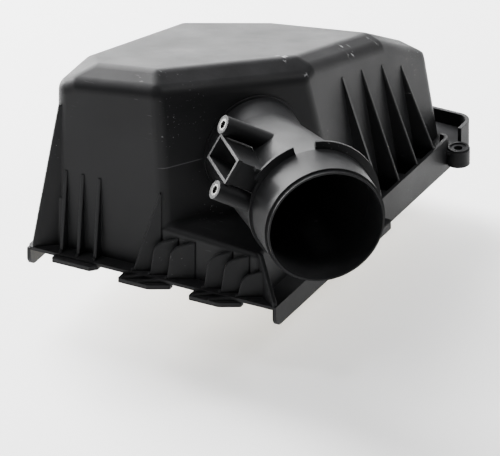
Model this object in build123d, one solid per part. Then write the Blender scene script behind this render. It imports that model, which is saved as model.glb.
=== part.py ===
"""Upper cover of an engine air filter housing, with its outlet duct, airflow insert and filter element.

Millimetres. The origin is the middle of the joint face on the underside of the flange.
+X points to the side that carries the outlet duct, -Y to the side with the hook tabs, +Z up.
"""
import os
from math import cos, radians, sin, sqrt, tan

from build123d import *

os.makedirs("parts", exist_ok=True)

# ---------------------------------------------------------------- driving dimensions
WALL = 2.5
FLANGE_X = 174.0
FLANGE_Y = 265.0
FLANGE_T = 2.3
FLANGE_CORNER_R = 4.0
HALF_X = FLANGE_X / 2
HALF_Y = FLANGE_Y / 2

# Filter box: the walls stand in from the flange edge, each with its own draft (rise per mm).
LEFT_X = -75.0
RIGHT_X = 74.3
FRONT_Y = -122.5
BACK_Y = 119.5
SIDE_DRAFT = 0.01
RIGHT_DRAFT = 0.16
BACK_DRAFT = 0.035

# The wall that carries the duct cuts off the corner between the front and the right side.
DUCT_WALL_ANGLE = 57.0
DUCT_WALL_REACH = 72.2
DUCT_WALL_DRAFT = 0.0575

# Roof: highest over the duct wall, falling to the back, with a steeper fall at the rear.
ROOF_HEIGHT = 103.6
ROOF_RISE_X = 0.144
ROOF_FALL_Y = 0.285
REAR_FALL_Y = 0.6
REAR_FROM_Y = 66.0
REAR_LEFT_CUT = ((-75.0, 36.0), (-19.0, 66.0), 0.23)
FRONT_LEFT_CUT = ((-40.0, -122.5), (-75.0, -70.0), 0.5)
FRONT_BEVEL = (16.0, 12.0)
SIDE_BEVEL = (12.0, 7.0)
UPPER_R = 9.5
SHELF_R = 3.5
SHELF_CORNER_R = 4.0

# Shelf under the duct, left over where the full rectangle of the filter box stays.
SHELF_HEIGHT = 34.0
SHELF_FALL_X = 0.06

# Rim round the flange.
SKIRT_T = 2.4
SKIRT_DEPTH = 12.2
SKIRT_END_R = 7.0
RIM_RISE = 10.0
RIM_START_Y = -32.0
RIM_END_Y = 98.5
RIM_RAMP = 12.0
RIM_NOSE_R = 7.0
LUG_Y = (-15.0, 14.8)
LUG_PROUD = 4.7
LUG_HEIGHT = 6.7

# Screw ears at the back corners.
EAR_X = HALF_X + 5.0
EAR_Y = 105.3
EAR_R = 7.4
EAR_HOLE_R = 2.75
EAR_BOTTOM_Z = -8.3
EAR_RING_H = 0.8
EAR_RING_T = 1.4
CORNER_X = HALF_X + 2.7
CORNER_R = 10.0
CORNER_RISE = 11.4
CORNER_START_X = 60.0

# Hook tabs and ribs along the front.
TAB_CENTRES = (-53.0, -2.4, 47.0)
RIB_PITCH = 11.7
RIB_T = 2.4
RIB_FOOT_Y = -129.8
TALL_RIB_Z = 56.0
SLANT = 26.0
SLANT_RIB_Z = 28.0
LOW_RIB_Z = 20.5
SHOULDER = (3.2, 4.0)
SHOULDER_R = 9.5
RIB_EDGE_R = 0.7
FOOT_R = 1.5
TAB_REACH = 6.5
STRAIGHT_TAB_REACH = 4.0
TAB_T = 2.4
TAB_TOP_Z = -0.5
FIN_T = 2.6

# Ribs on the right wall, and gussets at the front corners.
SIDE_RIBS = ((9.0, 90.0), (33.4, 84.0), (58.2, 76.0), (81.2, 65.0))
SIDE_RIB_T = 2.2
SIDE_RIB_TURN = 8.0
LEFT_GUSSET = ((-83.6, -131.4), (-70.4, -121.0), 100.0)
RIGHT_GUSSET = ((86.0, -131.6), (71.4, -121.2), 30.0)
GUSSET_T = 2.6
GUSSET_BURIED = 6.0

# Outlet duct: its own frame sits at the middle of the mouth, looking out along the duct.
MOUTH = Vector(130.3, -148.7, 77.7)
DUCT_WALL_T = 2.5
SEAT_R = 38.8
SEAT_LENGTH = 29.0
COLLAR_R = 44.0
COLLAR_T = 2.2
LIP_R = 37.4
LIP_LENGTH = 3.0
THROAT_R = 32.0
THROAT_OFFSET = (-8.7, -5.1)
DUCT_LENGTH = 124.0
FLARE_START = 103.0
WEDGE_STEPS = 4
TOP_GAP = (87, 106)
LOW_STRETCH = (147, 300)
LOW_COLLAR_R = 40.6
WELD_W = 1.6
WELD_H = 1.3

# Sensor port on the duct.
PORT_ANGLE = 150.0
PORT_BACK = 52.0
PORT_REACH = 58.0
PORT_LENGTH = 37.0
PORT_WIDTH = 18.0
PORT_WALL = 2.0
PORT_LIP = 1.0
PORT_LIP_LENGTH = 3.0
BOSS_R = 6.0
BOSS_BACK = 16.0
BOSS_SIDE = 15.3
BOSS_PROUD = 3.0
BOSS_WEB_T = 2.4
PORT_RIB_T = 2.2
PORT_RIB_DROP = 12.0
INSERT_R = 3.8
INSERT_HOLE_R = 2.5
INSERT_LENGTH = 12.0

# Airflow insert in the throat of the duct.
GRID_BACK = 106.5
GRID_LENGTH = 12.0
INSERT_CLEAR = 0.15
GRID_RIM_T = 1.6
CELL = 6.6
CELL_WALL = 0.8
SCREEN_T = 0.8
RING_LENGTH = 3.0

# Filter element, and the seat inside the box that it is pushed up against.
FILTER_LOW = (-71.2, -118.9, 1.5)
FILTER_HIGH = (66.8, 113.1, 25.5)
FILTER_CORNER_R = 5.0
SEAL_W = 9.0
MEDIA_INSET_Z = 1.5
BEAD_COUNT = 4
BEAD_W = 3.0
BEAD_H = 1.0
SEAT_GAP = 0.4
SEAT_T = 1.4
SEAT_W = 4.0


# ---------------------------------------------------------------- helpers
def cut_by(body, planes):
    """Keep what lies behind every plane."""
    for plane in planes:
        body = split(body, bisect_by=plane, keep=Keep.BOTTOM)
    return body


def point_on(wall, roof):
    """A point on the line where a wall meets a roof."""
    along = wall.z_dir.cross(roof.z_dir).normalized()
    up_wall = wall.z_dir.cross(along).normalized()
    reach = (roof.origin - wall.origin).dot(roof.z_dir) / up_wall.dot(roof.z_dir)
    return wall.origin + up_wall * reach


def bevel_plane(wall, roof, run, drop):
    """Plane that cuts off the edge of a wall and a roof, run in from the wall and drop down from the roof."""
    on_roof = point_on(wall.offset(-run), roof)
    on_wall = point_on(wall, Plane(origin=roof.origin - Vector(0, 0, drop), z_dir=roof.z_dir))
    normal = wall.z_dir.cross(roof.z_dir).cross(on_roof - on_wall).normalized()
    if normal.dot(wall.z_dir) < 0:
        normal = normal * -1
    return Plane(origin=on_roof, z_dir=normal)


def box_between(low, high):
    size = [b - a for a, b in zip(low, high)]
    middle = [(a + b) / 2 for a, b in zip(low, high)]
    return Pos(*middle) * Box(*size)


# ---------------------------------------------------------------- filter box
duct_wall_normal = Vector(sin(radians(DUCT_WALL_ANGLE)), -cos(radians(DUCT_WALL_ANGLE)), DUCT_WALL_DRAFT)
roof_normal = Vector(-ROOF_RISE_X, ROOF_FALL_Y, 1)
rear_normal = Vector(-ROOF_RISE_X, REAR_FALL_Y, 1)

LEFT = Plane(origin=(LEFT_X, 0, 0), z_dir=(-1, 0, SIDE_DRAFT))
RIGHT = Plane(origin=(RIGHT_X, 0, 0), z_dir=(1, 0, RIGHT_DRAFT))
FRONT = Plane(origin=(0, FRONT_Y, 0), z_dir=(0, -1, SIDE_DRAFT))
BACK = Plane(origin=(0, BACK_Y, 0), z_dir=(0, 1, BACK_DRAFT))
DUCT_FACE = Plane(
    origin=Vector(duct_wall_normal.X, duct_wall_normal.Y, 0) * DUCT_WALL_REACH,
    z_dir=duct_wall_normal,
)
ROOF = Plane(origin=(0, 0, ROOF_HEIGHT), z_dir=roof_normal)
REAR_ROOF = Plane(origin=(0, REAR_FROM_Y, ROOF_HEIGHT - ROOF_FALL_Y * REAR_FROM_Y), z_dir=rear_normal)
SHELF = Plane(origin=(0, 0, SHELF_HEIGHT), z_dir=(SHELF_FALL_X, 0, 1))


def corner_roof(start, end, extra_fall):
    """Roof beyond the line from start to end in plan, falling away from it more steeply than the rest."""
    away = Vector(start[1] - end[1], end[0] - start[0], 0).normalized()
    height = ROOF_HEIGHT + ROOF_RISE_X * start[0] - ROOF_FALL_Y * start[1]
    return Plane(origin=(start[0], start[1], height), z_dir=roof_normal + away * extra_fall)


REAR_LEFT_ROOF = corner_roof(*REAR_LEFT_CUT)
FRONT_LEFT_ROOF = corner_roof(*FRONT_LEFT_CUT)


def lies_on(edge, plane):
    """Whether an edge runs along a plane."""
    return all(abs((edge @ share - plane.origin).dot(plane.z_dir)) < 0.05 for share in (0, 0.5, 1))


def above(body, height):
    return [edge for edge in body.edges() if edge.bounding_box().max.Z > height]


def box_form(inset, low):
    """Solid the shape of the box, every face moved in by inset, from height low upwards."""
    blank = box_between((-150, -200, low), (150, 200, 200))
    left, right, front, back, duct_face, shelf = [
        plane.offset(-inset) for plane in (LEFT, RIGHT, FRONT, BACK, DUCT_FACE, SHELF)
    ]
    roofs = [plane.offset(-inset) for plane in (ROOF, REAR_ROOF, REAR_LEFT_ROOF, FRONT_LEFT_ROOF)]
    bevels = [bevel_plane(wall, roofs[0], *FRONT_BEVEL) for wall in (front, duct_face)]
    bevels.append(bevel_plane(right, roofs[0], *SIDE_BEVEL))
    bevels += [bevel_plane(wall, roofs[1], *SIDE_BEVEL) for wall in (right, back)]
    upper = cut_by(blank, [left, right, front, back, duct_face] + roofs + bevels)
    lower = cut_by(blank, [left, right, front, back, shelf])
    thinner = max(inset, 0)
    on_back = [edge for edge in lower.edges() if lies_on(edge, back)]
    upright_edges = [edge for edge in on_back if edge.bounding_box().size.Z > 2 * SHELF_R]
    lower = fillet(upright_edges, UPPER_R - thinner)
    return fillet(above(upper, low + 1), UPPER_R - thinner), fillet(above(lower, low + 1), SHELF_R - thinner)


# ---------------------------------------------------------------- duct frame
DUCT = Plane(
    origin=MOUTH,
    x_dir=(cos(radians(45)), sin(radians(45)), 0),
    z_dir=(cos(radians(45)), -sin(radians(45)), 0),
)
PORT_DIR = DUCT.x_dir * cos(radians(PORT_ANGLE)) + DUCT.y_dir * sin(radians(PORT_ANGLE))
PORT = Plane(origin=MOUTH - DUCT.z_dir * PORT_BACK, x_dir=DUCT.z_dir, z_dir=PORT_DIR)


def duct_section(back, inset):
    """Circle of the tube at a distance back from the mouth, made smaller by inset."""
    share = min(1, max(0, (FLARE_START - back) / (FLARE_START - SEAT_LENGTH)))
    radius = THROAT_R + (SEAT_R - THROAT_R) * share - inset
    shift = [value * (1 - share) for value in THROAT_OFFSET]
    return DUCT.offset(-back) * Pos(*shift) * Circle(radius)


def duct_form(inset, front, deep):
    """Solid the shape of the tube, from front to deep back from the mouth."""
    throat = extrude(duct_section(FLARE_START, inset), amount=deep - FLARE_START, dir=-DUCT.z_dir)
    flare = loft([duct_section(FLARE_START, inset), duct_section(SEAT_LENGTH, inset)])
    seat = extrude(duct_section(SEAT_LENGTH, inset), amount=SEAT_LENGTH - front, dir=DUCT.z_dir)
    return throat + flare + seat


def cylinder_on(plane, x, y, radius, low, high):
    return extrude(plane.offset(low) * Pos(x, y) * Circle(radius), amount=high - low, dir=plane.z_dir)


def box_on(plane, low, high):
    outline = plane.offset(low[2]) * Pos((low[0] + high[0]) / 2, (low[1] + high[1]) / 2)
    return extrude(
        outline * Rectangle(high[0] - low[0], high[1] - low[1]), amount=high[2] - low[2], dir=plane.z_dir
    )


def wedge_on(plane, start, end, radius, low, high):
    """Wedge between two angles about the plane's axis."""
    corners = [(0, 0)]
    for step in range(WEDGE_STEPS + 1):
        angle = radians(start + (end - start) * step / WEDGE_STEPS)
        corners.append((radius * cos(angle), radius * sin(angle)))
    outline = make_face(Polyline(*corners, close=True))
    return extrude(plane.offset(low) * outline, amount=high - low, dir=plane.z_dir)


# ---------------------------------------------------------------- cover shell
def rim():
    """Flange, skirt, raised rim, back corners and screw ears."""
    flange = extrude(RectangleRounded(FLANGE_X, FLANGE_Y, FLANGE_CORNER_R), amount=FLANGE_T)
    left = side_plate(skirt_outline(FLANGE_T / 2, FLANGE_T / 2), -HALF_X + SKIRT_T / 2, SKIRT_T)
    right = side_plate(skirt_outline(FLANGE_T, RIM_RISE), HALF_X - SKIRT_T / 2, SKIRT_T)
    nose_y = RIM_END_Y + RIM_NOSE_R
    nose = rim_path(
        [(HALF_X, RIM_END_Y), (HALF_X, nose_y), (HALF_X - RIM_NOSE_R, nose_y)],
        RIM_RISE,
        RIM_NOSE_R - 1,
    )
    back = box_between(
        (-HALF_X + CORNER_R, HALF_Y - SKIRT_T, -SKIRT_DEPTH), (HALF_X - CORNER_R, HALF_Y, FLANGE_T / 2)
    )
    lug = box_between(
        (HALF_X - 1, LUG_Y[0], -SKIRT_DEPTH), (HALF_X + LUG_PROUD, LUG_Y[1], LUG_HEIGHT - SKIRT_DEPTH)
    )
    lug = fillet(lug.edges().group_by(Axis.X)[-1], 1.2)
    corner = back_corner()
    body = flange + left + right + nose + back + lug + corner + mirror(corner, about=Plane.YZ)
    for side in (1, -1):
        body -= Pos(side * EAR_X, EAR_Y, EAR_BOTTOM_Z) * Cylinder(EAR_HOLE_R, 60)
    return body


def side_plate(outline, x, thickness):
    plane = Plane(origin=(x, 0, 0), x_dir=(0, 1, 0), z_dir=(1, 0, 0))
    return extrude(plane * outline, amount=thickness / 2, both=True)


def skirt_outline(top, rise):
    """Side view of a skirt: rounded at its lower front corner, raised from RIM_START_Y on."""
    points = [(-HALF_Y, -SKIRT_DEPTH), (-HALF_Y, top)]
    if rise > top:
        points += [(RIM_START_Y, top), (RIM_START_Y + RIM_RAMP, rise)]
    points += [(RIM_END_Y, rise), (RIM_END_Y, -SKIRT_DEPTH)]
    face = make_face(Polyline(*points, close=True))
    lowest_front = face.vertices().sort_by(Axis.X)[:2].sort_by(Axis.Y)[0]
    return fillet(lowest_front, SKIRT_END_R)


def rim_path(points, top, radius):
    """Upright wall along a plan line whose corner is rounded."""
    line = FilletPolyline(*points, radius=radius)
    band = make_face(offset(line, amount=SKIRT_T, side=Side.LEFT, closed=True))
    return extrude(Pos(0, 0, -SKIRT_DEPTH) * band, amount=SKIRT_DEPTH + top, dir=(0, 0, 1))


def back_corner():
    """Pocket at the right back corner: floor, upstand and screw ear."""
    start_y = EAR_Y - EAR_R
    floor = Pos((CORNER_START_X + CORNER_X) / 2, (start_y + HALF_Y) / 2) * Rectangle(
        CORNER_X - CORNER_START_X, HALF_Y - start_y
    )
    corner = floor.vertices().sort_by(Axis.X)[-2:].sort_by(Axis.Y)[-1]
    floor = fillet(corner, CORNER_R)
    pocket_wall = rim_path(
        [(CORNER_X, EAR_Y + EAR_R + 1), (CORNER_X, HALF_Y), (CORNER_START_X, HALF_Y)], CORNER_RISE, CORNER_R
    )
    skirt = box_between(
        (HALF_X - SKIRT_T, start_y + 2, -SKIRT_DEPTH), (HALF_X, EAR_Y + EAR_R, FLANGE_T)
    )
    ear = extrude(Pos(EAR_X, EAR_Y, EAR_BOTTOM_Z) * Circle(EAR_R), amount=FLANGE_T - EAR_BOTTOM_Z)
    ring = extrude(Pos(EAR_X, EAR_Y, FLANGE_T) * Circle(EAR_R - EAR_RING_T / 2), amount=EAR_RING_H)
    ring -= extrude(Pos(EAR_X, EAR_Y, FLANGE_T) * Circle(EAR_R - 1.5 * EAR_RING_T), amount=EAR_RING_H)
    web = box_between(
        (HALF_X - SKIRT_T, EAR_Y - EAR_R / 2, EAR_BOTTOM_Z), (EAR_X, EAR_Y + EAR_R, FLANGE_T)
    )
    return extrude(floor, amount=FLANGE_T) + pocket_wall + skirt + ear + ring + web


def upright(point, direction, outline, thickness, shoulder_r=0):
    """Upright plate with softened free edges.

    outline holds (distance along direction, height) pairs from a point on the ground plan: first up the
    free side, then, as its last two pairs, the side that is buried in the wall.
    """
    along = Vector(cos(radians(direction)), sin(radians(direction)), 0)
    plane = Plane(origin=(point[0], point[1], 0), x_dir=along, z_dir=along.cross(Vector(0, 0, 1)))
    face = make_face(Polyline(*outline, close=True))
    if shoulder_r:
        corner = face.vertices().sort_by_distance(outline[1])[0]
        face = fillet(corner, shoulder_r)
    solid = extrude(plane * face, amount=thickness / 2, both=True)
    free = []
    for edge in solid.edges():
        place = plane.to_local_coords(edge.center())
        on_side = abs(abs(place.Z) - thickness / 2) < 0.01
        if on_side and place.Y > outline[0][1] + 0.1 and place.X < outline[-1][0] - 0.1:
            free.append(edge)
    return fillet(free, RIB_EDGE_R)


def front_ribs():
    """Three ribs above each hook tab: square to the wall at the left, slanting under the duct."""
    wall_gap = FRONT_Y - RIB_FOOT_Y
    reach = wall_gap / sin(radians(SLANT))
    ribs = []
    for centre in TAB_CENTRES:
        for step in (-1, 0, 1):
            foot = (centre + step * RIB_PITCH, RIB_FOOT_Y)
            straight = centre == TAB_CENTRES[0]
            if straight or (centre == TAB_CENTRES[1] and step == -1):
                out = wall_gap if straight else reach
                outline = [(0, 1), (0.6, 4), (out, TALL_RIB_Z), (out + 1, TALL_RIB_Z), (out + 1, 1)]
                ribs.append(upright(foot, 90 if straight else SLANT, outline, RIB_T))
            else:
                top = LOW_RIB_Z if centre == TAB_CENTRES[2] and step == 1 else SLANT_RIB_Z
                outline = [(0, 1), (SHOULDER[0], top - SHOULDER[1]), (reach + 1, top), (reach + 1, 1)]
                ribs.append(upright(foot, SLANT, outline, RIB_T, SHOULDER_R))
            ribs.append(Pos(foot[0], foot[1], FLANGE_T) * Sphere(FOOT_R))
    return ribs


def hook_tabs():
    """Tongues that hook into the lower case, with the ribs carried on over them as fins."""
    pieces = []
    edge = -HALF_Y
    for centre in TAB_CENTRES:
        straight = centre == TAB_CENTRES[0]
        reach = STRAIGHT_TAB_REACH if straight else TAB_REACH
        left = centre - (14.8 if straight else 17.8)
        turn = centre + (11.7 if straight else 3.5)
        right = centre + 15.6
        end = edge - reach
        outline = [(left, edge + 4), (left, end), (turn, end), (right, edge), (right, edge + 4)]
        radii = [0.5, 1.2, 1.0 if straight else 9.0, 2.0, 0.5]
        top = 0.5 if straight else TAB_TOP_Z
        tongue = make_face(FilletPolyline(*outline, radius=radii, close=True))
        pieces.append(extrude(Pos(0, 0, top - TAB_T - 0.6) * tongue, amount=TAB_T + 0.6))
        root_low = (left, edge + 0.5, top - TAB_T - 0.6)
        pieces.append(box_between(root_low, (right - 1, edge + 4, 1.0)))
        if straight:
            continue
        for step in (-1, 0, 1):
            foot = (centre + step * RIB_PITCH, RIB_FOOT_Y)
            out = (reach + RIB_FOOT_Y - edge) / sin(radians(SLANT)) - 3.0
            if step == -1:
                out = 5.0
            fin = [(-out, top - 1), (-out, top + 0.8), (0.5, FLANGE_T + 0.5), (4, FLANGE_T), (4, top - 1)]
            pieces.append(upright(foot, SLANT, fin, FIN_T))
    return pieces


def side_ribs():
    """Thin ribs between the right wall and the raised rim."""
    ribs = []
    outer = HALF_X - SKIRT_T / 2
    for y, top in SIDE_RIBS:
        run = outer - RIGHT_X + RIGHT_DRAFT * top
        foot = (outer, y + run * tan(radians(SIDE_RIB_TURN)))
        free = [(0, 1), (0, RIM_RISE), (run, top)]
        buried = [(run + 1, top), (run + 1, FLANGE_T), (outer - RIGHT_X + 1.5, 1)]
        ribs.append(upright(foot, 180 + SIDE_RIB_TURN, free + buried, SIDE_RIB_T))
    return ribs


def corner_gusset(foot, corner, top):
    run = Vector(corner[0] - foot[0], corner[1] - foot[1], 0)
    direction = run.get_angle(Vector(1, 0, 0))
    buried = run.length + GUSSET_BURIED
    outline = [(0, 1), (0, 5), (run.length, top), (buried, top), (buried, 1)]
    return upright(foot, direction, outline, GUSSET_T)


def cover_shell():
    outer_upper, outer_lower = box_form(0, 0)
    inner_upper, inner_lower = box_form(WALL, -1)
    body = outer_upper + outer_lower
    corner = [edge for edge in body.edges() if lies_on(edge, DUCT_FACE) and lies_on(edge, SHELF)]
    body = fillet(corner, SHELF_CORNER_R)
    body += rim()
    for piece in front_ribs() + hook_tabs() + side_ribs():
        body += piece
    body += corner_gusset(*LEFT_GUSSET)
    body += corner_gusset(*RIGHT_GUSSET)
    body -= inner_upper + inner_lower
    seat_z = FILTER_HIGH[2] + SEAT_GAP
    slab = box_between((-100, -150, seat_z), (100, 150, seat_z + SEAT_T))
    window = box_between(
        (FILTER_LOW[0] + SEAT_W, FILTER_LOW[1] + SEAT_W, 0),
        (FILTER_HIGH[0] - SEAT_W, FILTER_HIGH[1] - SEAT_W, seat_z + 2 * SEAT_T),
    )
    body += (slab & inner_lower) - window
    body -= duct_form(0, 60, DUCT_LENGTH + 40)
    return body


# ---------------------------------------------------------------- outlet duct
def outlet_duct():
    outer_upper, _ = box_form(0, 0)
    inner_upper, _ = box_form(WALL, -1)
    weld_upper, _ = box_form(-WELD_H, 0)
    tube = duct_form(0, LIP_LENGTH, DUCT_LENGTH + 30)
    tube += cylinder_on(DUCT, 0, 0, LIP_R, -LIP_LENGTH, 0)
    collar_back = -SEAT_LENGTH - COLLAR_T
    collar = cylinder_on(DUCT, 0, 0, COLLAR_R, collar_back, -SEAT_LENGTH)
    collar -= wedge_on(DUCT, *LOW_STRETCH, 2 * COLLAR_R, collar_back - 1, 1 - SEAT_LENGTH)
    collar += cylinder_on(DUCT, 0, 0, LOW_COLLAR_R, collar_back, -SEAT_LENGTH)
    collar -= wedge_on(DUCT, *TOP_GAP, 2 * COLLAR_R, collar_back - 1, 1 - SEAT_LENGTH)
    weld = duct_form(-WELD_W, 60, DUCT_LENGTH + 30) & weld_upper
    weld = weld - outer_upper

    half_length = PORT_LENGTH / 2
    half_width = PORT_WIDTH / 2
    neck_length = half_length - PORT_LIP
    neck_width = half_width - PORT_LIP
    port = box_on(PORT, (-neck_length, -neck_width, 20), (neck_length, neck_width, PORT_REACH))
    lip_low = (-half_length, -half_width, PORT_REACH - PORT_LIP_LENGTH)
    port += box_on(PORT, lip_low, (half_length, half_width, PORT_REACH))
    slot_length = half_length - PORT_WALL
    slot_width = half_width - PORT_WALL
    slot = box_on(PORT, (-slot_length, -slot_width, 15), (slot_length, slot_width, PORT_REACH + 1))
    body = tube + collar + weld + port
    face_z = PORT_REACH + BOSS_PROUD
    for side in (-1, 1):
        body += cylinder_on(PORT, side * BOSS_BACK, -side * BOSS_SIDE, BOSS_R, 18, face_z)
        web_sides = sorted((-side * BOSS_SIDE, -side * half_width))
        web_low = (side * BOSS_BACK - BOSS_WEB_T / 2, web_sides[0], 22)
        web_high = (side * BOSS_BACK + BOSS_WEB_T / 2, web_sides[1], PORT_REACH - 2)
        body += box_on(PORT, web_low, web_high)
    rib_low = (half_length - 1, half_width - PORT_RIB_T, 30)
    rib_high = (PORT_BACK - SEAT_LENGTH - 1, half_width, PORT_REACH - PORT_RIB_DROP)
    body += box_on(PORT, rib_low, rib_high)
    body -= slot
    bore = duct_form(DUCT_WALL_T, 0, DUCT_LENGTH + 40)
    bore += cylinder_on(DUCT, 0, 0, SEAT_R - DUCT_WALL_T, -LIP_LENGTH, 1)
    body -= bore
    for side in (-1, 1):
        body -= cylinder_on(
            PORT, side * BOSS_BACK, -side * BOSS_SIDE, INSERT_R, face_z - INSERT_LENGTH, face_z + 1
        )
    return body - inner_upper


def sensor_boss_inserts():
    face_z = PORT_REACH + BOSS_PROUD
    sleeves = []
    for side in (-1, 1):
        x = side * BOSS_BACK
        y = -side * BOSS_SIDE
        sleeve = cylinder_on(PORT, x, y, INSERT_R, face_z - INSERT_LENGTH, face_z)
        sleeve -= cylinder_on(PORT, x, y, INSERT_HOLE_R, face_z - INSERT_LENGTH - 1, face_z + 1)
        sleeves.append(sleeve)
    return Compound(children=sleeves)


# ---------------------------------------------------------------- airflow insert
def insert_plane(back):
    return Plane(
        origin=DUCT.from_local_coords(Vector(THROAT_OFFSET[0], THROAT_OFFSET[1], -back)),
        x_dir=DUCT.x_dir,
        z_dir=DUCT.z_dir,
    )


INSERT_OUTER_R = THROAT_R - DUCT_WALL_T - INSERT_CLEAR


def flow_straightener():
    plane = insert_plane(GRID_BACK + GRID_LENGTH)
    rim_ring = cylinder_on(plane, 0, 0, INSERT_OUTER_R, 0, GRID_LENGTH)
    inner_r = INSERT_OUTER_R - GRID_RIM_T
    pitch = CELL + CELL_WALL
    cells = []
    reach = int(2 * inner_r / pitch) + 1
    for row in range(-reach, reach + 1):
        for column in range(-reach, reach + 1):
            x = (column + 0.5 * (row % 2)) * pitch
            y = row * pitch * sqrt(3) / 2
            if sqrt(x * x + y * y) < inner_r - CELL / 2:
                cells.append(plane * Pos(x, y) * RegularPolygon(CELL / 2, 6, major_radius=False, rotation=90))
    return rim_ring - extrude(Sketch() + cells, amount=GRID_LENGTH, dir=plane.z_dir)


def straightener_screen():
    return cylinder_on(insert_plane(GRID_BACK), 0, 0, INSERT_OUTER_R - 0.3, 0, SCREEN_T)


def screen_ring():
    plane = insert_plane(GRID_BACK - SCREEN_T)
    ring = cylinder_on(plane, 0, 0, INSERT_OUTER_R, 0, RING_LENGTH)
    return ring - cylinder_on(plane, 0, 0, INSERT_OUTER_R - 2 * GRID_RIM_T, -1, RING_LENGTH + 1)


# ---------------------------------------------------------------- filter element
def filter_slab(inset, low_z, high_z):
    width = FILTER_HIGH[0] - FILTER_LOW[0] - 2 * inset
    length = FILTER_HIGH[1] - FILTER_LOW[1] - 2 * inset
    middle = ((FILTER_LOW[0] + FILTER_HIGH[0]) / 2, (FILTER_LOW[1] + FILTER_HIGH[1]) / 2, low_z)
    outline = RectangleRounded(width, length, max(1.0, FILTER_CORNER_R - inset))
    return extrude(Pos(*middle) * outline, amount=high_z - low_z)


def filter_seal_frame():
    low, high = FILTER_LOW[2], FILTER_HIGH[2]
    return filter_slab(0, low, high) - filter_slab(SEAL_W, low - 1, high + 1)


def filter_media():
    return filter_slab(SEAL_W, FILTER_LOW[2] + MEDIA_INSET_Z, FILTER_HIGH[2] - MEDIA_INSET_Z)


def filter_glue_beads():
    low_z = FILTER_HIGH[2] - MEDIA_INSET_Z
    first = FILTER_LOW[0] + SEAL_W
    width = FILTER_HIGH[0] - SEAL_W - first
    beads = []
    for index in range(BEAD_COUNT):
        x = first + width * (index + 0.5) / BEAD_COUNT
        low = (x - BEAD_W / 2, FILTER_LOW[1] + SEAL_W, low_z)
        high = (x + BEAD_W / 2, FILTER_HIGH[1] - SEAL_W, low_z + BEAD_H)
        beads.append(box_between(low, high))
    return Compound(children=beads)


PARTS = {
    "cover_shell": cover_shell,
    "outlet_duct": outlet_duct,
    "sensor_boss_inserts": sensor_boss_inserts,
    "flow_straightener": flow_straightener,
    "straightener_screen": straightener_screen,
    "screen_ring": screen_ring,
    "filter_media": filter_media,
    "filter_seal_frame": filter_seal_frame,
    "filter_glue_beads": filter_glue_beads,
}

for name, make in PARTS.items():
    export_step(make(), f"parts/{name}.step")
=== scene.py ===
"""Looks of the air filter cover: materials, filter, woven screen, camera, light and floor."""

from math import cos, pi, radians, sin, sqrt

import bmesh
import bpy
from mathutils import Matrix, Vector


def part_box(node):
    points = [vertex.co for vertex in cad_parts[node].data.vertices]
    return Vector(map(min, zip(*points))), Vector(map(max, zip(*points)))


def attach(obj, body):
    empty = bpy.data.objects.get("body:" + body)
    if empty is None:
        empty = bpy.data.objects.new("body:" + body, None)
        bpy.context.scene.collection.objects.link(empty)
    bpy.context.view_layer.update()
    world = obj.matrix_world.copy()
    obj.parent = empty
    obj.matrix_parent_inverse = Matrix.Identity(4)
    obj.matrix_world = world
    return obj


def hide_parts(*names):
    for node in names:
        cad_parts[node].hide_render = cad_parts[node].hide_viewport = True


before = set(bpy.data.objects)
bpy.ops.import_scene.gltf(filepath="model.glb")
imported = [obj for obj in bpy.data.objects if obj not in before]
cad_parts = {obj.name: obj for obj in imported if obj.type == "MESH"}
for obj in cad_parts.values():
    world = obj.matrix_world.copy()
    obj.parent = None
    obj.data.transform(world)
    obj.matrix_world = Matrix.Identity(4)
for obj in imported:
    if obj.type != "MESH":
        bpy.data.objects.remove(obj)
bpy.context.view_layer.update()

MM = 0.001


# ---------------------------------------------------------------- node helpers
BEVEL_SAMPLES = 6


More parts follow.
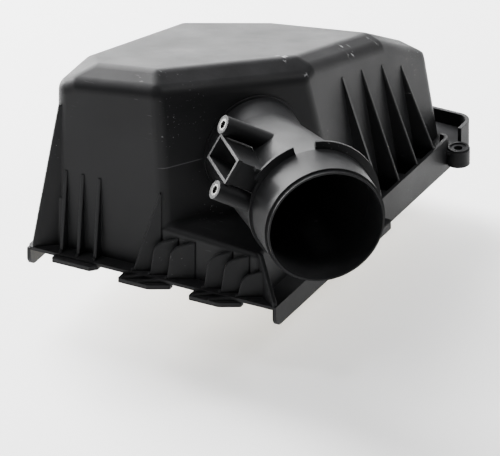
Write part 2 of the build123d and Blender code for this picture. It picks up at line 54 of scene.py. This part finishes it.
class Nodes:
    """Short ways to add and wire shader nodes in one new material."""

    def __init__(self, name):
        self.material = bpy.data.materials.new(name)
        self.material.use_nodes = True
        self.tree = self.material.node_tree
        self.shader = self.tree.nodes["Principled BSDF"]
        coordinates = self.tree.nodes.new("ShaderNodeTexCoord")
        self.place = coordinates.outputs["Object"]

    def link(self, source, target):
        self.tree.links.new(source, target)

    def set(self, **values):
        for key, value in values.items():
            self.shader.inputs[key.replace("_", " ")].default_value = value

    def noise(self, scale, detail=3.0, roughness=0.5, stretch=None, distortion=0.0, turn=(0, 0, 0)):
        """Noise between 0 and 1, finer along the axes whose stretch is higher."""
        node = self.tree.nodes.new("ShaderNodeTexNoise")
        node.inputs["Scale"].default_value = scale
        node.inputs["Detail"].default_value = detail
        node.inputs["Roughness"].default_value = roughness
        node.inputs["Distortion"].default_value = distortion
        self.link(self.mapped(stretch, turn), node.inputs["Vector"])
        return node.outputs["Fac"]

    def mapped(self, stretch, turn=(0, 0, 0)):
        if stretch is None:
            return self.place
        node = self.tree.nodes.new("ShaderNodeMapping")
        node.inputs["Scale"].default_value = stretch
        node.inputs["Rotation"].default_value = turn
        self.link(self.place, node.inputs["Vector"])
        return node.outputs["Vector"]

    def ramp(self, value, low, high, low_out=0.0, high_out=1.0):
        """Value spread from the range low to high over the range low_out to high_out."""
        node = self.tree.nodes.new("ShaderNodeMapRange")
        node.inputs["From Min"].default_value = low
        node.inputs["From Max"].default_value = high
        node.inputs["To Min"].default_value = low_out
        node.inputs["To Max"].default_value = high_out
        self.link(value, node.inputs["Value"])
        return node.outputs["Result"]

    def math(self, operation, a, b):
        node = self.tree.nodes.new("ShaderNodeMath")
        node.operation = operation
        for socket, value in zip(node.inputs, (a, b)):
            if isinstance(value, (int, float)):
                socket.default_value = value
            else:
                self.link(value, socket)
        return node.outputs["Value"]

    def mix(self, share, a, b):
        """Colour that goes from a to b as share goes from 0 to 1."""
        node = self.tree.nodes.new("ShaderNodeMix")
        node.data_type = "RGBA"
        for socket, value in zip((node.inputs[0], node.inputs[6], node.inputs[7]), (share, a, b)):
            if isinstance(value, tuple):
                socket.default_value = (*value, 1.0)
            elif isinstance(value, (int, float)):
                socket.default_value = value
            else:
                self.link(value, socket)
        return node.outputs[2]

    def distance_to(self, point):
        """Distance of the shaded place from a point."""
        node = self.tree.nodes.new("ShaderNodeVectorMath")
        node.operation = "DISTANCE"
        self.link(self.place, node.inputs[0])
        node.inputs[1].default_value = point
        return node.outputs["Value"]

    def facing_up(self):
        """1 where the surface faces straight up, 0 where it stands upright."""
        geometry = self.tree.nodes.new("ShaderNodeNewGeometry")
        split = self.tree.nodes.new("ShaderNodeSeparateXYZ")
        self.link(geometry.outputs["Normal"], split.inputs["Vector"])
        return split.outputs["Z"]

    def soft_edges(self, radius):
        """Normal that rounds off sharp edges, so that they catch the light as moulded edges do."""
        node = self.tree.nodes.new("ShaderNodeBevel")
        node.samples = BEVEL_SAMPLES
        node.inputs["Radius"].default_value = radius
        return node.outputs["Normal"]

    def bump(self, height, strength, distance, under=None):
        """Relief on the surface, laid over the normal under it where one is given."""
        node = self.tree.nodes.new("ShaderNodeBump")
        node.inputs["Strength"].default_value = strength
        node.inputs["Distance"].default_value = distance
        self.link(height, node.inputs["Height"])
        if under is not None:
            self.link(under, node.inputs["Normal"])
        self.link(node.outputs["Normal"], self.shader.inputs["Normal"])
        return node.outputs["Normal"]


# ---------------------------------------------------------------- materials
DUST_SHARE = 0.22
DUST_ROUGHNESS = 0.10
STREAK_SHARE = 0.35
SCUFF_SHARE = 0.8
SCUFF_CORE = 0.3
SCUFF_TONE = (0.60, 0.60, 0.61)
# Painted highlight along the mould's hairline: how strongly it is laid on, and its lighter tone.
WITNESS_HIGHLIGHT_SHARE = 0.8
WITNESS_HIGHLIGHT_TONE = (0.045, 0.045, 0.047)
PLASTIC_ROUGHNESS = (0.40, 0.50)
PLASTIC_SPECULAR = 0.085
EDGE_SOFTNESS = 0.5 * MM
WAVINESS = 1.2 * MM


def moulded_plastic(name, dark, light, dust_tone, grain_depth, scuffs=(), witness_highlight=None):
    """Black plastic with spark-eroded grain, flow clouds, fine streaks, scuffs, a little dust on top and,
    where given, a painted highlight along a mould hairline.
    """
    n = Nodes(name)
    cloud = n.ramp(n.noise(9.0, 5.0), 0.3, 0.7)
    colour = n.mix(cloud, dark, light)
    specks = n.ramp(n.noise(26.0, 6.0, 0.65), 0.35, 0.8, 0.15, 1.0)
    dust = n.math("MULTIPLY", n.ramp(n.facing_up(), 0.35, 1.0), specks)
    colour = n.mix(n.math("MULTIPLY", dust, DUST_SHARE), colour, dust_tone)
    streaks = n.ramp(n.noise(60.0, 2.0, 0.5, (1.0, 14.0, 14.0), 0.6), 0.69, 0.74)
    patch = n.ramp(n.noise(14.0, 4.0, 0.6), 0.55, 0.7)
    marks = n.math("MULTIPLY", n.math("MULTIPLY", streaks, patch), STREAK_SHARE)
    for centre, reach, angle in scuffs:
        marks = n.math("MAXIMUM", marks, scuff_mask(n, centre, reach, angle))
    colour = n.mix(marks, colour, SCUFF_TONE)
    # Painted highlight: the lighter hairline stands in for the light caught by the small step at the
    # mould's joint.
    if witness_highlight:
        line = n.math("MULTIPLY", witness_highlight_mask(n, *witness_highlight), WITNESS_HIGHLIGHT_SHARE)
        colour = n.mix(line, colour, WITNESS_HIGHLIGHT_TONE)
    n.link(colour, n.shader.inputs["Base Color"])
    bare_rough = n.ramp(n.noise(35.0, 4.0), 0.3, 0.7, *PLASTIC_ROUGHNESS)
    rough = n.math("ADD", bare_rough, n.math("MULTIPLY", dust, DUST_ROUGHNESS))
    n.link(rough, n.shader.inputs["Roughness"])
    grain = n.bump(n.noise(1900.0, 2.0, 0.6), 0.35, grain_depth, n.soft_edges(EDGE_SOFTNESS))
    n.bump(n.noise(28.0, 2.0), 0.08, WAVINESS, grain)
    n.set(Specular_IOR_Level=PLASTIC_SPECULAR)
    return n.material


def scuff_mask(n, centre, reach, angle):
    """A cluster of short pale strokes within reach of a place, turned by degrees about the upright."""
    near = n.ramp(n.distance_to(centre), reach * SCUFF_CORE, reach, 1.0, 0.0)
    strokes = n.noise(330.0, 3.0, 0.55, (0.22, 1.0, 1.0), 0.4, (0, 0, radians(angle)))
    broken = n.ramp(n.noise(140.0, 2.0), 0.44, 0.56)
    marks = n.math("MULTIPLY", n.ramp(strokes, 0.545, 0.62), broken)
    return n.math("MULTIPLY", n.math("MULTIPLY", near, marks), SCUFF_SHARE)


# Width and fade of the painted highlight along the mould's hairline.
WITNESS_HIGHLIGHT_CORE = 0.15 * MM
WITNESS_HIGHLIGHT_EDGE = 0.45 * MM
WITNESS_HIGHLIGHT_FADE = 2 * MM


def witness_highlight_mask(n, start, end):
    """Painted highlight along the hairline step left by a joint in the mould, level, from start to end."""
    place = n.tree.nodes.new("ShaderNodeSeparateXYZ")
    n.link(n.place, place.inputs["Vector"])
    height = n.math("ABSOLUTE", n.math("SUBTRACT", place.outputs["Z"], start.z), 0)
    line = n.ramp(height, WITNESS_HIGHLIGHT_CORE, WITNESS_HIGHLIGHT_EDGE, 1.0, 0.0)
    after = n.ramp(place.outputs["X"], start.x - WITNESS_HIGHLIGHT_FADE, start.x + WITNESS_HIGHLIGHT_FADE)
    before = n.ramp(place.outputs["X"], end.x - WITNESS_HIGHLIGHT_FADE, end.x, 1.0, 0.0)
    return n.math("MULTIPLY", line, n.math("MULTIPLY", after, before))


def turned_steel():
    """Dulled steel of the screw sleeves."""
    n = Nodes("insert_steel")
    tone = n.ramp(n.noise(400.0, 3.0), 0.35, 0.65)
    n.link(n.mix(tone, (0.045, 0.0445, 0.043), (0.095, 0.094, 0.09)), n.shader.inputs["Base Color"])
    n.link(n.ramp(n.noise(700.0, 3.0), 0.3, 0.7, 0.38, 0.55), n.shader.inputs["Roughness"])
    n.bump(n.noise(900.0, 2.0), 0.2, 0.1 * MM)
    n.set(Metallic=1.0)
    return n.material


def steel_wire():
    """Bright drawn wire."""
    n = Nodes("screen_wire")
    n.link(n.mix(n.noise(500.0), (0.30, 0.30, 0.31), (0.52, 0.52, 0.53)), n.shader.inputs["Base Color"])
    n.link(n.ramp(n.noise(900.0), 0.3, 0.7, 0.3, 0.45), n.shader.inputs["Roughness"])
    n.bump(n.noise(2500.0), 0.2, 0.05 * MM)
    n.set(Metallic=1.0)
    return n.material


def filter_paper():
    """Cream paper with fibres that show along the filter's length."""
    n = Nodes("filter_paper")
    fibre = n.noise(900.0, 5.0, 0.7, (1.0, 0.25, 1.0))
    tone = n.mix(n.ramp(n.noise(20.0, 4.0), 0.3, 0.7), (0.78, 0.68, 0.47), (0.86, 0.79, 0.61))
    fibre_share = n.ramp(fibre, 0.4, 0.7, 0.0, 0.35)
    n.link(n.mix(fibre_share, tone, (0.92, 0.88, 0.76)), n.shader.inputs["Base Color"])
    n.link(n.ramp(fibre, 0.2, 0.8, 0.82, 0.95), n.shader.inputs["Roughness"])
    n.bump(fibre, 0.35, 0.1 * MM)
    n.set(Specular_IOR_Level=0.2)
    return n.material


def seal_foam():
    """Matt black polyurethane with a skin of small pores."""
    n = Nodes("seal_foam")
    tone = n.mix(n.noise(30.0, 4.0), (0.05, 0.05, 0.052), (0.085, 0.085, 0.088))
    n.link(tone, n.shader.inputs["Base Color"])
    n.link(n.ramp(n.noise(200.0), 0.3, 0.7, 0.62, 0.78), n.shader.inputs["Roughness"])
    n.bump(n.noise(1400.0, 3.0, 0.7), 0.3, 0.2 * MM)
    n.set(Specular_IOR_Level=0.35)
    return n.material


def hot_melt():
    """Cream glue, smoother and glossier than the paper."""
    n = Nodes("hot_melt_glue")
    n.link(n.mix(n.noise(90.0), (0.80, 0.74, 0.58), (0.88, 0.84, 0.72)), n.shader.inputs["Base Color"])
    n.link(n.ramp(n.noise(160.0), 0.3, 0.7, 0.25, 0.4), n.shader.inputs["Roughness"])
    n.bump(n.noise(150.0, 2.0), 0.4, 0.4 * MM)
    return n.material


cover_low, cover_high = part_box("cover_shell")


def on_cover(x_share, y_share, z_share):
    """A place inside the cover's box, given as shares of its three sides."""
    size = cover_high - cover_low
    return cover_low + Vector((size.x * x_share, size.y * y_share, size.z * z_share))


# Place, reach and turn of each cluster of scuffs along the edges of the roof.
SCUFFS = [
    (on_cover(0.700, 0.401, 0.907), 7 * MM, 35),
    (on_cover(0.684, 0.220, 0.970), 5 * MM, 20),
    (on_cover(0.800, 0.393, 0.852), 6 * MM, 50),
    (on_cover(0.762, 0.610, 0.758), 8 * MM, 60),
    (on_cover(0.762, 0.732, 0.682), 7 * MM, 60),
    (on_cover(0.460, 0.130, 0.930), 7 * MM, 15),
]
# Ends of the painted highlight along the mould's hairline.
WITNESS_HIGHLIGHT = (on_cover(0.500, 0.070, 0.593), on_cover(0.592, 0.157, 0.593))
HOUSING = moulded_plastic(
    "housing_plastic",
    dark=(0.0055, 0.0056, 0.0060),
    light=(0.0085, 0.0087, 0.0092),
    dust_tone=(0.09, 0.09, 0.095),
    grain_depth=0.22 * MM,
    scuffs=SCUFFS,
    witness_highlight=WITNESS_HIGHLIGHT,
)
INSERT_PLASTIC = moulded_plastic(
    "insert_plastic",
    dark=(0.02, 0.02, 0.022),
    light=(0.03, 0.03, 0.033),
    dust_tone=(0.08, 0.08, 0.08),
    grain_depth=0.1 * MM,
)
STEEL = turned_steel()
WIRE = steel_wire()
PAPER = filter_paper()
FOAM = seal_foam()
GLUE = hot_melt()

CAD_FINISH = {
    "cover_shell": HOUSING,
    "outlet_duct": HOUSING,
    "sensor_boss_inserts": STEEL,
    "flow_straightener": INSERT_PLASTIC,
    "screen_ring": INSERT_PLASTIC,
    "straightener_screen": WIRE,
    "filter_media": PAPER,
    "filter_seal_frame": FOAM,
    "filter_glue_beads": GLUE,
}
for node, finish in CAD_FINISH.items():
    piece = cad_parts[node]
    piece.data.materials.clear()
    piece.data.materials.append(finish)


# ---------------------------------------------------------------- mesh helpers
def mesh_piece(name, build, finish, body, nodes):
    """New piece whose mesh is filled by build, and which stands in for the named nodes."""
    mesh = bpy.data.meshes.new(name)
    work = bmesh.new()
    build(work)
    bmesh.ops.recalc_face_normals(work, faces=work.faces)
    work.to_mesh(mesh)
    work.free()
    mesh.materials.append(finish)
    piece = bpy.data.objects.new(name, mesh)
    bpy.context.scene.collection.objects.link(piece)
    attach(piece, body)
    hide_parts(*nodes)


def join_rings(work, rings):
    """Skin between each ring of corners and the next."""
    for one, two in zip(rings, rings[1:]):
        for side in range(len(one)):
            after = (side + 1) % len(one)
            work.faces.new((one[side], one[after], two[after], two[side]))


def close_ends(work, rings):
    """Caps on the first and the last ring."""
    work.faces.new(rings[0])
    work.faces.new(rings[-1])


# ---------------------------------------------------------------- filter pleats
PLEAT_PITCH = 3.2 * MM
PAPER_T = 0.5 * MM
PLEAT_ARC_STEPS = 4


def pleats(work):
    """Folded paper running across the filter, each fold rounded, as one thick closed sheet."""
    low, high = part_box("filter_media")
    count = round((high.y - low.y) / PLEAT_PITCH)
    pitch = (high.y - low.y) / count
    radius = pitch / 4
    line = []
    for index in range(2 * count):
        top = index % 2 == 0
        centre_y = low.y + radius * (2 * index + 1)
        centre_z = high.z - radius if top else low.z + radius
        for step in range(PLEAT_ARC_STEPS + 1):
            angle = pi - pi * step / PLEAT_ARC_STEPS
            lift = sin(angle) * radius
            line.append(Vector((0, centre_y + cos(angle) * radius, centre_z + (lift if top else -lift))))
    rings = []
    for at, point in enumerate(line):
        before = line[max(0, at - 1)]
        after = line[min(len(line) - 1, at + 1)]
        across = Vector((0, -(after - before).z, (after - before).y)).normalized() * (PAPER_T / 2)
        ring = []
        for x, side in ((low.x, 1), (high.x, 1), (high.x, -1), (low.x, -1)):
            place = point + across * side
            place.z = min(high.z, max(low.z, place.z))
            place.y = min(high.y, max(low.y, place.y))
            ring.append(work.verts.new((x, place.y, place.z)))
        rings.append(ring)
    join_rings(work, rings)
    close_ends(work, rings)


mesh_piece("pleated_paper", pleats, PAPER, "filter_element", ["filter_media"])


# ---------------------------------------------------------------- woven wire screen
WIRE_R = 0.2 * MM
WIRE_PITCH = 1.8 * MM
WIRE_SIDES = 5
STEPS_PER_PITCH = 3


def wire(work, place, half_length, phase):
    """One wire of the weave: place(along, lift, sideways) gives a point, and phase is its first side."""
    steps = max(2, round(2 * half_length / WIRE_PITCH * STEPS_PER_PITCH))
    rings = []
    for step in range(steps + 1):
        along = -half_length + 2 * half_length * step / steps
        lift = WIRE_R * cos(pi * along / WIRE_PITCH) * phase
        rings.append([
            work.verts.new(place(along, lift + WIRE_R * cos(turn), WIRE_R * sin(turn)))
            for turn in (2 * pi * side / WIRE_SIDES for side in range(WIRE_SIDES))
        ])
    join_rings(work, rings)
    close_ends(work, rings)


def woven_screen(work):
    """Round screen of two crossing sets of wires, each wire passing over and under the other set."""
    low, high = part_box("straightener_screen")
    centre = (low + high) / 2
    radius = (high.z - low.z) / 2 - WIRE_R
    across = Vector((1, 1, 0)).normalized()
    up = Vector((0, 0, 1))
    out = Vector((1, -1, 0)).normalized()
    count = int(radius / WIRE_PITCH)
    for index in range(-count, count + 1):
        aside = index * WIRE_PITCH
        half_length = sqrt(radius ** 2 - aside ** 2)
        phase = 1 if index % 2 else -1
        for direction, side, start in ((across, up, phase), (up, across, -phase)):
            def place(along, lift, sideways):
                return centre + direction * along + side * (aside + sideways) + out * lift
            wire(work, place, half_length, start)


mesh_piece("woven_screen", woven_screen, WIRE, "cover", ["straightener_screen"])


# ---------------------------------------------------------------- filter seal and glue beads
SEAL_CORNER_R = 5.0 * MM
SEAL_CORNER_STEPS = 6
SMALLEST_CORNER_R = 1.0 * MM

# Section of the seal as inset from its outside and height, in mm: two lips on top, a groove outside.
SEAL_PROFILE = (
    (1.2, 0.0), (7.8, 0.0), (9.0, 1.2), (9.0, 22.6), (8.4, 23.1), (7.2, 23.1), (6.6, 24.0), (5.6, 24.0),
    (5.0, 23.1), (4.0, 23.1), (3.4, 24.0), (2.4, 24.0), (1.8, 23.1), (0.6, 22.6), (0.0, 21.4), (0.0, 15.0),
    (0.8, 13.6), (0.8, 9.4), (0.0, 8.0), (0.0, 1.2),
)


def seal_ring(low, high, inset, height):
    """Rounded rectangle in from the edge of the filter, as points at one height."""
    radius = max(SMALLEST_CORNER_R, SEAL_CORNER_R - inset)
    half_x = (high.x - low.x) / 2 - inset - radius
    half_y = (high.y - low.y) / 2 - inset - radius
    middle = (low + high) / 2
    points = []
    for turn, (x, y) in enumerate(((1, 1), (-1, 1), (-1, -1), (1, -1))):
        for step in range(SEAL_CORNER_STEPS + 1):
            angle = pi / 2 * (turn + step / SEAL_CORNER_STEPS)
            points.append((
                middle.x + x * half_x + cos(angle) * radius,
                middle.y + y * half_y + sin(angle) * radius,
                low.z + height,
            ))
    return points


def seal(work):
    """Seal frame round the paper, as one closed loop of its section."""
    low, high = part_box("filter_seal_frame")
    rings = [
        [work.verts.new(point) for point in seal_ring(low, high, inset * MM, height * MM)]
        for inset, height in SEAL_PROFILE
    ]
    join_rings(work, rings + rings[:1])


mesh_piece("lipped_seal", seal, FOAM, "filter_element", ["filter_seal_frame"])

BEAD_COUNT = 4
BEAD_WIDTH = 3.0 * MM
BEAD_SIDES = 8
BEAD_STEPS = 90


def glue_beads(work):
    """Half-round beads of glue with an uneven width and height, as a nozzle leaves them."""
    low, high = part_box("filter_glue_beads")
    gap = (high.x - low.x - BEAD_WIDTH) / (BEAD_COUNT - 1)
    for index in range(BEAD_COUNT):
        middle = low.x + BEAD_WIDTH / 2 + gap * index
        rings = []
        for step in range(BEAD_STEPS + 1):
            y = low.y + (high.y - low.y) * step / BEAD_STEPS
            swell = 0.88 + 0.08 * sin(step * 0.9 + index) + 0.04 * sin(step * 2.3 + 2 * index)
            ring = []
            for side in range(BEAD_SIDES + 1):
                angle = pi * side / BEAD_SIDES
                x = middle + cos(angle) * BEAD_WIDTH / 2 * swell
                ring.append(work.verts.new((x, y, low.z + sin(angle) * (high.z - low.z) * swell)))
            rings.append(ring)
        join_rings(work, rings)
        close_ends(work, rings)


mesh_piece("glue_lines", glue_beads, GLUE, "filter_element", ["filter_glue_beads"])


# ---------------------------------------------------------------- camera, light and floor
AZIMUTH = radians(27.55)
ELEVATION = radians(28.46)
DISTANCE = 12.0
FRAME_WIDTH = 308.2 * MM
SENSOR = 36.0
FAR_CLIP = 50.0
AIM = Vector((61.52, -118.13, 45.03)) * MM


def add_camera():
    """Long lens from in front, to the right and above, with FRAME_WIDTH across the picture at the aim."""
    data = bpy.data.cameras.new("camera")
    data.sensor_width = SENSOR
    data.lens = SENSOR * DISTANCE / FRAME_WIDTH
    data.clip_end = FAR_CLIP
    camera = bpy.data.objects.new("camera", data)
    bpy.context.scene.collection.objects.link(camera)
    direction = Vector((sin(AZIMUTH) * cos(ELEVATION), -cos(AZIMUTH) * cos(ELEVATION), sin(ELEVATION)))
    camera.location = AIM + direction * DISTANCE
    camera.rotation_euler = (-direction).to_track_quat("-Z", "Y").to_euler()
    bpy.context.scene.camera = camera


PART_MIDDLE = (0, 0, 0.05)
DUCT = (0.1, -0.1, 0.07)

# Name, position, aim, size and power of each softbox.
LIGHTS = (
    ("key", (-1.75, 0.75, 0.72), PART_MIDDLE, (1.3, 0.7), 85),
    ("back", (-1.1, 1.6, 0.55), PART_MIDDLE, (1.2, 0.6), 32),
    ("top", (-1.15, 0.62, 1.35), PART_MIDDLE, (1.1, 1.1), 84),
    ("left", (-1.85, 0.25, 0.5), DUCT, (0.35, 0.45), 90),
    ("edge", (-0.85, -0.95, 1.5), PART_MIDDLE, (0.3, 0.3), 8),
    ("right_top", (1.2, 0.2, 1.45), PART_MIDDLE, (0.4, 0.4), 14),
)


def add_area(name, position, aim, size, power):
    data = bpy.data.lights.new(name, "AREA")
    data.shape = "RECTANGLE"
    data.size, data.size_y = size
    data.energy = power
    light = bpy.data.objects.new(name, data)
    bpy.context.scene.collection.objects.link(light)
    light.location = position
    light.rotation_euler = (Vector(aim) - Vector(position)).to_track_quat("-Z", "Y").to_euler()


FLOOR_Z = -0.052
FLOOR_HALF = 6.0
FLOOR_GLOW = 0.45


def add_floor():
    """Wide pale floor that glows a little, so that it photographs nearly white."""
    mesh = bpy.data.meshes.new("studio_floor")
    signs = ((-1, -1), (1, -1), (1, 1), (-1, 1))
    corners = [(x * FLOOR_HALF, y * FLOOR_HALF, FLOOR_Z) for x, y in signs]
    mesh.from_pydata(corners, [], [(0, 1, 2, 3)])
    n = Nodes("studio_floor")
    n.link(n.mix(n.noise(2.0), (0.90, 0.90, 0.90), (0.93, 0.93, 0.93)), n.shader.inputs["Base Color"])
    n.set(Roughness=0.9, Specular_IOR_Level=0.1)
    n.set(Emission_Color=(1.0, 1.0, 1.0, 1.0), Emission_Strength=FLOOR_GLOW)
    mesh.materials.append(n.material)
    floor = bpy.data.objects.new("studio_floor", mesh)
    bpy.context.scene.collection.objects.link(floor)


SKY_BRIGHT_SIDE = Vector((-0.62, 0.68, 0.39))
SKY_TURN = (-0.4, 0.9)
SKY_DARK = 0.30
SKY_BRIGHT = 1.25


def add_world():
    """White surround, brighter behind and to the left, where the studio's big softbox would be."""
    world = bpy.data.worlds.new("studio")
    world.use_nodes = True
    tree = world.node_tree
    direction = tree.nodes.new("ShaderNodeTexCoord")
    facing = tree.nodes.new("ShaderNodeVectorMath")
    facing.operation = "DOT_PRODUCT"
    facing.inputs[1].default_value = SKY_BRIGHT_SIDE
    tree.links.new(direction.outputs["Generated"], facing.inputs[0])
    level = tree.nodes.new("ShaderNodeMapRange")
    level.inputs["From Min"].default_value = SKY_TURN[0]
    level.inputs["From Max"].default_value = SKY_TURN[1]
    level.inputs["To Min"].default_value = SKY_DARK
    level.inputs["To Max"].default_value = SKY_BRIGHT
    tree.links.new(facing.outputs["Value"], level.inputs["Value"])
    back = tree.nodes["Background"]
    back.inputs["Color"].default_value = (1.0, 1.0, 1.0, 1.0)
    tree.links.new(level.outputs["Result"], back.inputs["Strength"])
    bpy.context.scene.world = world


add_camera()
for light in LIGHTS:
    add_area(*light)
add_floor()
add_world()
